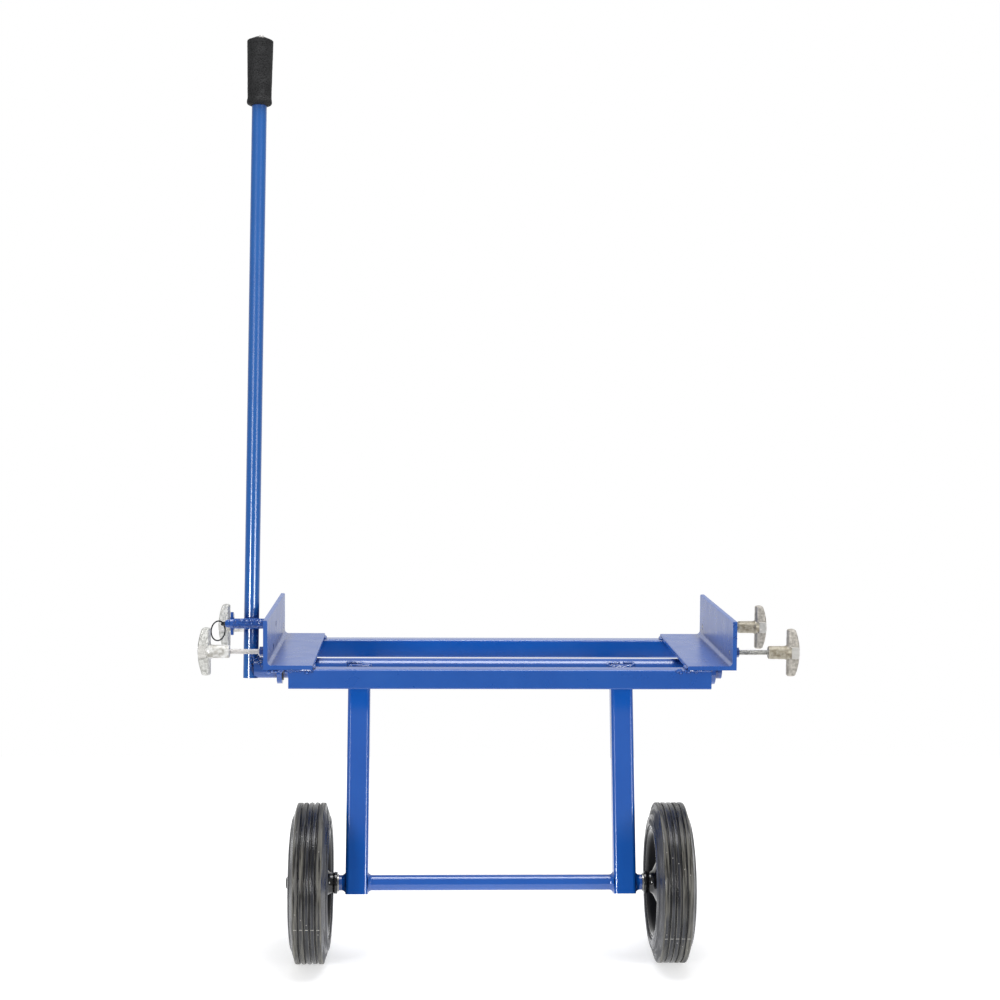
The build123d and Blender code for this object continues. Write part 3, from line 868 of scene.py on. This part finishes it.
# The lever's own frame, from the shaft's axis: X right, Y back and Z up along the legs.
# The handle's frame is the same, with Z up along the tube.
lever_frame = Matrix.Translation(pivot) @ Matrix((right_way, lever_back, lever_up)).transposed().to_4x4()
handle_line = Matrix.Translation(pivot + right_way * handle_x) @ Matrix.Rotation(-handle_lean, 4, "X")
handle_frame = handle_line @ Matrix.Rotation(handle_tilt, 4, "Y")
x_to_z = Matrix.Rotation(-pi / 2, 4, "Y")
half_turn = Matrix.Rotation(pi, 4, "Z")


def facing(side):
    """Turn that points a piece's X axis outwards on a side."""
    return half_turn if side < 0 else Matrix()


def make_piece(name, mesh, body, slot, place=Matrix(), material=None):
    """A finished piece in its place, riding on a body, in a material or else its slot's usual one."""
    piece = add_object(name, mesh)
    piece.matrix_world = place
    if not mesh.materials:
        mesh.materials.append(material or slot_materials[slot])
    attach(piece, body)
    return piece


def make_beads(name, beads, body):
    """Beads and lumps of weld as one painted piece."""
    make_piece(name, build_mesh(name, join(*beads)), body, "blue_paint", material=bead_paint)


# Foam grip
grip_outline = soften([
    (grip_bore_end, 0.0, 0.0),
    (grip_bore_end, grip_bore, grip_bore_round),
    (grip_bottom - grip_sag, grip_bore, grip_mouth_round),
    (grip_bottom, grip_lip_radius, grip_lip_low_round),
    (grip_bottom + grip_lip_height, grip_lip_radius, grip_lip_high_round),
    (grip_bottom + grip_lip_height + grip_lip_slope, grip_radius_low, grip_foot_round),
    (grip_top - grip_dome, grip_radius_high, grip_shoulder),
    (grip_top, grip_crown, grip_shoulder),
    (grip_top, 0.0, 0.0),
])
grip_mesh = build_mesh("foam_grip", lathe(evenly(grip_outline, grip_spacing), grip_steps), crease=60.0)
roughen(grip_mesh, grip_pore, grip_dent)
grip = make_piece("foam_grip", grip_mesh, "lever", "foam", handle_frame @ x_to_z)
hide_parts("handle_grip")

# Bare tip that shows through the grip's end
tip_outline = soften([
    (grip_bore_end, 0.0, 0.0),
    (grip_bore_end, tip_radius, tip_foot_round),
    (grip_top - tip_drop, tip_radius, tip_edge_round),
    (grip_top - tip_drop, 0.0, 0.0),
])
tip_frame = handle_frame @ Matrix.Translation((*tip_place, 0.0)) @ x_to_z
tip_mesh = build_mesh("handle_tip", lathe(tip_outline, tip_steps))
make_piece("handle_tip", tip_mesh, "lever", "zinc_steel", tip_frame, bright_zinc)


# Tyres: rounded ribs and grooves, a raised ring on each side wall, mould seams and vent nubs
def tyre_flank(share, rise):
    """Corner on the sloping side wall, at a share of its height and a rise above it."""
    slope = Vector((side_half - tread_half, side_radius - wheel_radius))
    normal = Vector((-slope.y, slope.x)).normalized()
    corner = Vector((tread_half, wheel_radius)) + slope * share + normal * rise
    return corner.x, corner.y, side_ring_round


def tyre_corners():
    """Corners of the tyre's section, from one side wall over the tread to the other."""
    wall = [(tread_half, wheel_radius, tread_round)]
    wall += [tyre_flank(share, rise) for share, rise in side_ring]
    wall += [(side_half, side_radius, side_round), (bead_half, rim_radius, bead_round)]
    corners = mirrored(wall)
    for index in range(groove_count):
        middle = (index - (groove_count - 1) / 2) * groove_pitch
        corners += [
            (middle - groove_width / 2, wheel_radius, rib_round),
            (middle - groove_floor / 2, wheel_radius - groove_depth, groove_round),
            (middle + groove_floor / 2, wheel_radius - groove_depth, groove_round),
            (middle + groove_width / 2, wheel_radius, rib_round),
        ]
    return corners + wall


tyre_mesh = build_mesh("tyre", lathe(soften(tyre_corners()), tyre_steps, closed=True))
seam_half = right_way * (groove_pitch - groove_width) * seam_share / 2
seam_shapes = []
for rib in range(groove_count + 1):
    rib_middle = right_way * (rib - groove_count / 2) * groove_pitch
    for turn in seam_turns:
        seam_middle = rib_middle + outward(-turn) * (wheel_radius - seam_width + seam_rise)
        seam_path = evenly([seam_middle - seam_half, seam_middle + seam_half], bead_spacing)
        seam_shapes.append(tube(seam_path, [seam_width] * len(seam_path), bead_sides))
    for index in range(nub_count):
        turn = tau * index / nub_count + nub_turn - nub_step * rib
        seam_shapes.append(ball(rib_middle + outward(turn) * wheel_radius, nub_radius))
seam_points, seam_faces = join(*seam_shapes)


# Rims: a hub with a collar that flares into a cone, a deep dish and a rounded lip with a groove
def rim_corners(reach):
    """Corners of one side of the rim's section, from the hub's bore to the tyre."""
    return [
        (reach, bearing_radius, hub_bore_round),
        (reach, hub_radius, hub_round),
        (reach - hub_collar, hub_radius, hub_collar_round),
        (reach - hub_collar, hub_neck_radius, hub_neck_round),
        (reach - hub_end, hub_neck_radius, hub_cone_round),
        (reach - hub_end - hub_cone, hub_cone_radius, hub_cone_edge_round),
        (rim_web_half, hub_cone_radius, hub_cone_edge_round),
        (rim_web_half, rim_dish_radius, rim_dish_round),
        (rim_edge_half, rim_edge_radius, rim_dish_round),
        (rim_half, rim_lip_radius, rim_lip_round),
        (rim_half, rim_ring[0], rim_ring_round),
        (rim_half - rim_ring_depth, rim_ring[0], rim_ring_round),
        (rim_half - rim_ring_depth, rim_ring[1], rim_ring_round),
        (rim_half, rim_ring[1], rim_ring_round),
        (rim_half, rim_radius, rim_seat_round),
    ]


rim_section = rim_corners(hub_outer_reach) + mirrored(rim_corners(hub_inner_reach))
rim_mesh = build_mesh("rim", lathe(soften(rim_section), rim_steps, closed=True))

for name, side in sides.items():
    wheel_place = Matrix.Translation(wheel_centres[name]) @ facing(side)
    tyre = make_piece(f"{name}_ribbed_tyre", tyre_mesh, f"{name}_wheel", "tyre_rubber", wheel_place)
    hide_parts(f"{name}_tyre")
    turned = Matrix.Rotation(wheel_turns[name], 3, "X")
    seam_mesh = build_mesh(f"{name}_tyre_seams", ([turned @ point for point in seam_points], seam_faces))
    make_piece(f"{name}_tyre_seams", seam_mesh, f"{name}_wheel", "tyre_rubber", wheel_place, seam_rubber)
    rim = make_piece(f"{name}_moulded_rim", rim_mesh, f"{name}_wheel", "black_plastic", wheel_place)
    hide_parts(f"{name}_rim")


# Threaded rods, all the same, with their inner ends at the origin
def thread_shape(length):
    """Rod with a helical thread and chamfered ends."""
    count = round(length / thread_pitch * thread_rings)
    core = rod_radius - thread_depth
    rings = [[Vector((0, 0, 0))]]
    for index in range(count + 1):
        along = length * index / count
        limit = core - thread_chamfer / 2 + min(along, length - along)
        ring = []
        for step in range(thread_steps):
            phase = (along / thread_pitch - step / thread_steps) % 1
            height = min(1, thread_flank * (0.5 - abs(phase - 0.5)))
            radius = min(core + thread_depth * height, limit)
            turn = tau * step / thread_steps
            ring.append(Vector((along, radius * cos(turn), radius * sin(turn))))
        rings.append(ring)
    return skin(rings + [[Vector((length, 0, 0))]])


rod_low, rod_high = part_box("right_front_clamp_rod")
rod_mesh = build_mesh("threaded_rod", thread_shape(rod_high.x - rod_low.x), crease=80.0)


# Cast T-handles, with the inner face of the bar at the origin and X outwards
def tee_bar():
    """Bowed bar with chamfered edges and rounded ends, along Z."""
    rings = []
    half = tee_bar_length / 2
    for station in range(tee_stations + 1):
        height = half * (2 * station / tee_stations - 1)
        bow = 1 - (height / half) ** 2
        width = tee_end_width + tee_bow * bow
        thick = tee_end_thickness + (tee_thickness - tee_end_thickness) * bow
        past_end = max(0.0, abs(height) - half + tee_end_round)
        inset = tee_end_round - sqrt(max(0.0, tee_end_round ** 2 - past_end ** 2))
        low, high, deep = inset, width - inset, thick / 2 - inset
        back_edge = [
            (low, deep - tee_inner_edge),
            (low + tee_inner_edge, deep),
            (high - tee_outer_edge, deep),
            (high, deep - tee_outer_edge),
        ]
        outline = back_edge + [(x, -y) for x, y in reversed(back_edge)]
        rings.append([Vector((x, y, height)) for x, y in outline])
    middle = Vector((tee_end_width / 2, 0, 0))
    return skin([[middle - up_way * half]] + rings + [[middle + up_way * half]])


def tee_boss():
    """Raised block across the middle of the bar."""
    high = tee_end_width + tee_bow - tee_boss_inset
    low = high - tee_boss_width
    deep = tee_thickness / 2 + tee_boss_rise
    tall = tee_boss_length / 2
    outline = [(low, -deep), (high, -deep), (high, deep), (low, deep)]
    rings = [[Vector((x, y, height)) for x, y in outline] for height in (-tall, tall)]
    middle = Vector(((low + high) / 2, 0, 0))
    return skin([[middle - up_way * tall]] + rings + [[middle + up_way * tall]])


tee_hub = lathe(soften([
    (-tee_hub_length + tee_bore_depth, 0.0, 0.0),
    (-tee_hub_length + tee_bore_depth, tee_bore, tee_bore_round),
    (-tee_hub_length, tee_bore, tee_mouth_round),
    (-tee_hub_length, tee_hub_radius - tee_hub_draft, tee_hub_round),
    (-2 * tee_hub_root, tee_hub_radius, tee_hub_root),
    (0.0, tee_hub_radius + tee_hub_root, tee_hub_seat_round),
    (tee_end_width / 2, tee_hub_radius, tee_hub_seat_round),
    (tee_end_width / 2, 0.0, 0.0),
]), tee_hub_steps)
tee_mesh = fuse(build_mesh("cast_tee", join(tee_bar(), tee_boss(), tee_hub)), tee_voxel, tee_softening)
roughen(tee_mesh, tee_pore, tee_dent)

# Meshes and materials of a side's rods and T-handles, paler on the left: partly a paler plating and casting, and
# partly painted light for the stronger light on that side
clamp_looks = {
    "left": (rod_mesh, bright_zinc, tee_mesh, pale_casting),
    "right": (rod_mesh.copy(), None, tee_mesh.copy(), None),
}
for name, side in sides.items():
    rod_mesh, rod_look, tee_mesh, tee_look = clamp_looks[name]
    for end in ends:
        clamp = f"{name}_{end}_clamp"
        rod_low, rod_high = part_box(f"{clamp}_rod")
        tee_start = joints[f"{clamp}_turn"]
        rod_start = Vector((rod_low.x if side > 0 else rod_high.x, tee_start.y, tee_start.z))
        rod_place = Matrix.Translation(rod_start) @ facing(side)
        screw = f"{clamp}_screw"
        rod = make_piece(f"{clamp}_threaded_rod", rod_mesh, screw, "zinc_steel", rod_place, rod_look)
        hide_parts(f"{clamp}_rod")
        tee_place = Matrix.Translation(tee_start) @ facing(side)
        tee = make_piece(f"{clamp}_cast_tee", tee_mesh, f"{clamp}_tee", "cast_iron", tee_place, tee_look)
        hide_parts(f"{clamp}_handle")

# Coil spring inside the latch
spring_low, spring_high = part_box("latch_spring")
spring_middle = (spring_low + spring_high) / 2
spring_radius = (spring_high.z - spring_low.z) / 2 - spring_wire
spring_reach = spring_high.x - spring_low.x - 2 * spring_wire
spring_steps = spring_turns * spring_turn_steps
spring_path = []
for index in range(spring_steps + 1):
    share = index / spring_steps
    turn = tau * spring_turns * share
    spring_path.append(Vector((
        spring_low.x + spring_wire + spring_reach * share,
        spring_middle.y + spring_radius * cos(turn),
        spring_middle.z + spring_radius * sin(turn),
    )))
spring_mesh = build_mesh("coil_spring", tube(spring_path, [spring_wire] * len(spring_path), spring_sides))
spring = make_piece("latch_coil_spring", spring_mesh, "lever", "spring_steel")
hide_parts("latch_spring")

# Weld beads of the saddle: rails and lugs under the angles, and round the weld nuts
beads = []
for name, side in sides.items():
    angle_low, angle_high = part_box(f"{name}_side_angle")
    seat = angle_low.z
    tip, outer = (angle_high.x, angle_low.x) if side < 0 else (angle_low.x, angle_high.x)
    for end in ends:
        rail_low, rail_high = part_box(f"{end}_rail")
        rail_end = rail_low.x if side < 0 else rail_high.x
        for depth in (rail_low.y + rail_sink, rail_high.y - rail_sink):
            long_path = [(tip, depth, seat - rail_sink), (rail_end, depth, seat - rail_sink)]
            beads.append(bead(long_path, rail_bead))
        cross_beads = (
            (rail_bead, rail_end, seat - rail_end_sink),
            (tip_bead, tip - side * tip_sink, seat + tip_rise),
        )
        for radius, along, height in cross_beads:
            cross_path = [(along, rail_low.y + radius, height), (along, rail_high.y - radius, height)]
            beads.append(bead(cross_path, radius))
        nut_place = joints[f"{name}_{end}_clamp_turn"].copy()
        nut_place.x = outer
        beads.append(bead(ring_path(nut_place, nut_bead_ring, up_way, back_way), nut_bead))
    lug_low, lug_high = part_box(f"{name}_pivot_lug")
    for lug_face in (lug_low.x, lug_high.x):
        beads.append(bead([(lug_face, lug_low.y, seat), (lug_face, lug_high.y, seat)], lug_bead))

# Lumps of weld under the angles' front ends, and runs of paint on the right angle's end
draw = random.Random(lump_seed)
rail_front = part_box("front_rail")[0].y
angle_low, angle_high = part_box("right_side_angle")
for start, end, count in lump_runs:
    for index in range(count):
        radius = draw.uniform(*lump_radius)
        height = angle_low.z - draw.uniform(*lump_drop)
        beads.append(ball(Vector((draw.uniform(start, end), rail_front, height)), radius))
for index in range(run_count):
    along = draw.uniform(angle_high.x - run_width, angle_high.x)
    height = angle_high.z - draw.uniform(*run_drop)
    beads.append(ball(Vector((along, angle_low.y, height)), draw.uniform(*run_radius)))
make_beads("saddle_weld_beads", beads, "saddle_frame")


# Weld beads of the lever
def lever_points(path):
    """Points given in the lever's own frame, as places in the scene."""
    return [lever_frame @ Vector(point) for point in path]


def on_handle(turn, height):
    """Place on the handle tube's skin, turned to the right from its front."""
    return handle_frame @ Vector((handle_radius * sin(turn), -handle_radius * cos(turn), height))


# Where the shaft's end is coped to the handle tube: a bead above, and lumps on the tube and the shaft
beads = []
cope_path = []
for index in range(cope_steps + 1):
    turn = cope_turn * (2 * index / cope_steps - 1)
    across = handle_radius * sin(turn)
    rise = sqrt(shaft_radius ** 2 - across ** 2)
    cope_path.append(handle_frame @ Vector((handle_radius * cos(turn), across, rise)))
beads.append(bead(cope_path, handle_bead))
draw = random.Random(cope_seed)
for index in range(tube_lumps):
    place = on_handle(draw.uniform(*tube_lump_turn), draw.uniform(*tube_lump_height))
    beads.append(ball(place, draw.uniform(*cope_lump_radius)))
for index in range(shaft_lumps):
    out = outward(draw.uniform(*shaft_lump_turn)) * shaft_radius
    along = right_way * (handle_x + draw.uniform(*shaft_lump_reach))
    beads.append(ball(lever_frame @ (along + out), draw.uniform(*cope_lump_radius)))

# Round the tops of the legs
for name in sides:
    leg_low, leg_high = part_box(f"{name}_leg")
    bead_ends = (leg_low.x - leg_bead_overhang, leg_high.x + leg_bead_overhang)
    for direction in (-1, 1):
        for out, rise in leg_bead_lines:
            line = lever_points([(along, direction * out, rise) for along in bead_ends])
            beads.append(bead(line, leg_bead))
    smear = []
    smear_start = leg_low.x - smear_overhang
    smear_length = leg_high.x - leg_low.x + 2 * smear_overhang
    for share, turn in smears[name]:
        along = right_way * (smear_start + smear_length * share)
        smear.append(along + outward(radians(turn)) * (shaft_radius - smear_sink))
    beads.append(bead(lever_points(smear), smear_bead))
    for leg_face in (leg_low.x, leg_high.x):
        centre = lever_frame @ Vector((leg_face, 0, 0))
        ring_radius = shaft_radius + leg_ring_gap
        path = ring_path(centre, ring_radius, lever_back, -lever_up, leg_ring_start, leg_ring_sweep)
        beads.append(bead(path, lug_bead))

# Between the latch barrel and the handle tube, above and below, and round the flange
barrel_low, barrel_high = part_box("latch_barrel")
barrel_middle = (barrel_low + barrel_high) / 2
barrel_radius = (barrel_high.z - barrel_low.z) / 2
latch_height = (handle_frame.inverted() @ barrel_middle).z
for way in (1, -1):
    path = []
    height = latch_height + way * barrel_radius * latch_bead_share
    for index in range(-latch_bead_steps, latch_bead_steps + 1):
        across = latch_bead_half * index / latch_bead_steps
        out = sqrt(handle_radius ** 2 - across ** 2) + latch_bead_gap
        path.append(handle_frame @ Vector((across, -out, height)))
    beads.append(bead(path, latch_bead))
flange_low, flange_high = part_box("latch_flange")
flange_radius = barrel_radius + flange_bead_gap
for flange_face in (flange_low.x, flange_high.x):
    centre = Vector((flange_face, barrel_middle.y, barrel_middle.z))
    path = ring_path(centre, flange_radius, up_way, back_way, sweep=pi)
    beads.append(bead(path, flange_bead))

# Spatter on the latch barrel, and drips on the handle tube above and below it
draw = random.Random(spatter_seed)
for index in range(spatter_count):
    out = outward(draw.uniform(*spatter_turn)) * barrel_radius
    place = Vector((draw.uniform(*spatter_x), barrel_middle.y, barrel_middle.z))
    beads.append(ball(place + out, draw.uniform(*spatter_radius)))
for index in range(drip_count):
    way = 1 if index % 2 else -1
    height = latch_height + way * (barrel_radius + drip_reach * draw.random() ** 2)
    place = on_handle(draw.uniform(*drip_turn), height)
    beads.append(ball(place, draw.uniform(*spatter_radius)))
make_beads("lever_weld_beads", beads, "lever")


# Hollow-faced welds between the axle tube and both faces of each leg
def weld_fillet(centre, direction, radius):
    """Ring of weld that flares from the axle tube to a leg's face."""
    rings = []
    for step in range(fillet_steps):
        turn = tau * step / fillet_steps
        out = Vector((0, cos(turn), sin(turn)))
        wander = fillet_wander * noise.noise((centre + out * radius) * fillet_wander_scale)
        uneven = 1 + wander + fillet_ripple * sin(fillet_ripples * turn)
        section = [centre + out * (radius - weld_root)]
        for index in range(fillet_points + 1):
            share = index / fillet_points
            rise = fillet_height * uneven * (1 - share) ** fillet_hollow
            along = right_way * direction * fillet_width * uneven * share
            section.append(centre + along + out * (radius + rise))
        section.append(section[-1] - out * weld_root)
        rings.append(section)
    return skin(rings, closed=True)


axle_low, axle_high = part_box("axle_tube")
axle_radius = (axle_high.z - axle_low.z) / 2
axle_fillets = []
for name in sides:
    leg_low, leg_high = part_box(f"{name}_leg")
    for leg_face, direction in ((leg_low.x, -1), (leg_high.x, 1)):
        axle_fillets.append(weld_fillet(Vector((leg_face, axle.y, axle.z)), direction, axle_radius))
axle_weld_mesh = build_mesh("axle_weld_fillets", join(*axle_fillets))
axle_weld = make_piece("axle_weld_fillets", axle_weld_mesh, "lever", "blue_paint")
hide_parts("axle_welds")

# Pale floor
floor_corners = [(-floor_side, y, 0) for y in (floor_back, floor_front)]
floor_corners += [(floor_side, y, 0) for y in (floor_front, floor_back)]
floor_mesh = bpy.data.meshes.new("floor")
floor_mesh.from_pydata(floor_corners, [], [(0, 1, 2, 3)])
floor_surface = Surface("floor", specular=0.0)
for socket, value in floor_look.items():
    floor_surface.shader.inputs[socket].default_value = value
floor_mesh.materials.append(floor_surface.material)
floor = add_object("floor", floor_mesh)
floor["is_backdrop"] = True

# White surroundings, dimmer in front and at the sides
world = bpy.data.worlds.new("studio")
world.use_nodes = True
scene.world = world
sky = world.node_tree
ray_way = add_node(sky, "TexCoord", {}).outputs["Generated"]
backwards = add_node(sky, "SeparateXYZ", {"Vector": ray_way}).outputs["Y"]
glow = map_field(sky, backwards, back_start, (front_light, back_light))
seen = add_node(sky, "LightPath", {}).outputs["Is Camera Ray"]
strength = add_node(sky, "Math", {0: glow, 1: seen}, operation="MAXIMUM").outputs["Value"]
background = sky.nodes["Background"]
background.inputs["Color"].default_value = white
sky.links.new(strength, background.inputs["Strength"])

for name, (place, target, size, power) in lights.items():
    light = bpy.data.lights.new(name, "AREA")
    light.shape = "RECTANGLE"
    light.size, light.size_y = size
    light.energy = power
    lamp = add_object(name, light)
    lamp.location = place
    lamp.rotation_euler = (Vector(target) - Vector(place)).to_track_quat("-Z", "Y").to_euler()

camera_way = Matrix.Rotation(-camera_yaw, 4, "Z") @ Matrix.Rotation(pi / 2 - camera_pitch, 4, "X")
camera_turn = camera_way @ Matrix.Rotation(camera_roll, 4, "Z")
camera_data = bpy.data.cameras.new("camera")
camera_data.lens = camera_data.sensor_width * camera_focal
camera = add_object("camera", camera_data)
camera.matrix_world = Matrix.Translation(camera_place) @ camera_turn
scene.camera = camera
scene.view_settings.view_transform = "Standard"

boxes = {"cad": cad_box, "visual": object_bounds()}
{name: [list(corner) for corner in box] for name, box in boxes.items()}
